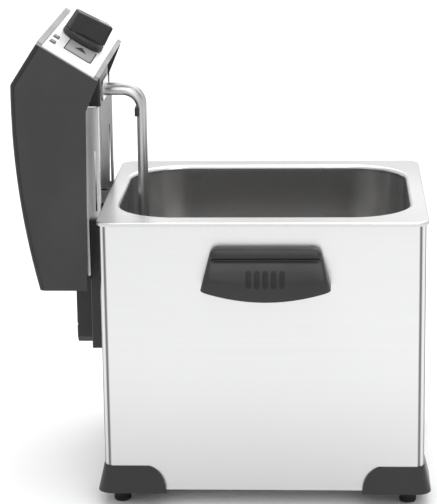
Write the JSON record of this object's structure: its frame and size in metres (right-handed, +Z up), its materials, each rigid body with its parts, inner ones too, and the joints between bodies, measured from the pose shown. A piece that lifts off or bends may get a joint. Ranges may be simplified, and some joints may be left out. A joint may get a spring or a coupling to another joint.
{
  "type": "deep fryer",
  "caption": "Box-shaped deep fryer: steel casing with carry handles, lift-out oil tank, and a control head with an immersion element raised on a rear slide rail.",
  "frame": {"origin": "on the surface the fryer stands on, under the middle of its whole outline with the head raised", "axes": "+Z up, +X to the fryer's front, away from the control head; left and right are as seen by someone facing the front, so left is -Y"},
  "size_m": [0.3463, 0.2886, 0.4033],
  "materials": {
    "casing_steel": "stainless steel sheet, brushed level round the walls",
    "tank_steel": "bright pressed stainless steel",
    "plain_steel": "plain stainless steel sheet",
    "element_steel": "polished steel tube",
    "screw_steel": "bright steel",
    "shell_plastic": "fine grained dark grey plastic",
    "dark_plastic": "satin black plastic",
    "rubber": "black rubber",
    "panel_silver": "silver painted plate",
    "bezel_grey": "grey satin plastic",
    "dial_border": "printed black",
    "dial_grey": "printed grey",
    "pointer_white": "white paint line",
    "green_lens": "green tinted lens, unlit",
    "red_lens": "red tinted lens, unlit",
    "reset_red": "red plastic",
    "inner_plastic": "cream heat resistant plastic",
    "wire_sleeve": "silicone sleeved wire",
    "brass": "brass"
  },
  "bodies": {
    "body": {"outer_casing": "casing_steel", "base_tray": "plain_steel", "heat_shield": "plain_steel", "handle_backplate_left": "plain_steel", "handle_backplate_right": "plain_steel", "foot_screws": "screw_steel", "foot_nuts": "screw_steel", "handle_screws": "screw_steel", "rail_screws": "screw_steel", "catch_spring": "screw_steel", "switch_actuator": "screw_steel", "carry_handle_left": "dark_plastic", "carry_handle_right": "dark_plastic", "guide_rail": "dark_plastic", "corner_shoe_front_left": "dark_plastic", "corner_shoe_front_right": "dark_plastic", "corner_shoe_rear_left": "dark_plastic", "corner_shoe_rear_right": "dark_plastic", "rubber_foot_front_left": "rubber", "rubber_foot_front_right": "rubber", "rubber_foot_rear_left": "rubber", "rubber_foot_rear_right": "rubber"},
    "tank": {"oil_tank": "tank_steel"},
    "head": {"head_front_plate": "plain_steel", "slide_hook": "plain_steel", "element_flange": "plain_steel", "element_braces": "plain_steel", "heating_element": "element_steel", "thermostat_probe": "element_steel", "head_screws": "screw_steel", "carriage_screws": "screw_steel", "head_shell": "shell_plastic", "slide_carriage": "dark_plastic", "element_block": "dark_plastic", "probe_clip": "dark_plastic", "cord_gland": "dark_plastic", "control_panel": "panel_silver", "panel_bezel": "bezel_grey", "dial_plate": "dial_border", "dial_pointer": "dial_border", "dial_face": "dial_grey", "ready_lamp_lens": "green_lens", "power_lamp_lens": "red_lens", "thermostat_body": "inner_plastic", "lamp_holders": "inner_plastic", "safety_cutout": "inner_plastic", "terminal_block": "inner_plastic", "interlock_switch": "inner_plastic", "internal_wires": "wire_sleeve", "element_terminals": "brass"},
    "knob": {"control_knob": "dark_plastic", "knob_pointer": "pointer_white", "thermostat_spindle": "screw_steel"},
    "reset": {"reset_button": "reset_red"},
    "plunger": {"interlock_plunger": "inner_plastic"}
  },
  "joints": [
    {"name": "tank_lift", "type": "slide", "parent": "body", "child": "tank", "axis": [0, 0, 1], "range_m": [0, 0.19]},
    {"name": "head_slide", "type": "slide", "parent": "tank", "child": "head", "axis": [0, 0, 1], "range_m": [-0.0845, 0.14]},
    {"name": "knob_turn", "type": "hinge", "parent": "head", "child": "knob", "pos_m": [-0.1229, 0, 0.3752], "axis": [0.5291, 0, 0.8486], "range_deg": [-270, 0]},
    {"name": "reset_press", "type": "slide", "parent": "head", "child": "reset", "axis": [1, 0, 0], "range_m": [0, 0.0016], "stiffness_N_per_m": 500, "springref_m": -0.002},
    {"name": "plunger_press", "type": "slide", "parent": "head", "child": "plunger", "axis": [0, 0, 1], "range_m": [0, 0.0015], "stiffness_N_per_m": 300, "springref_m": -0.002}
  ]
}
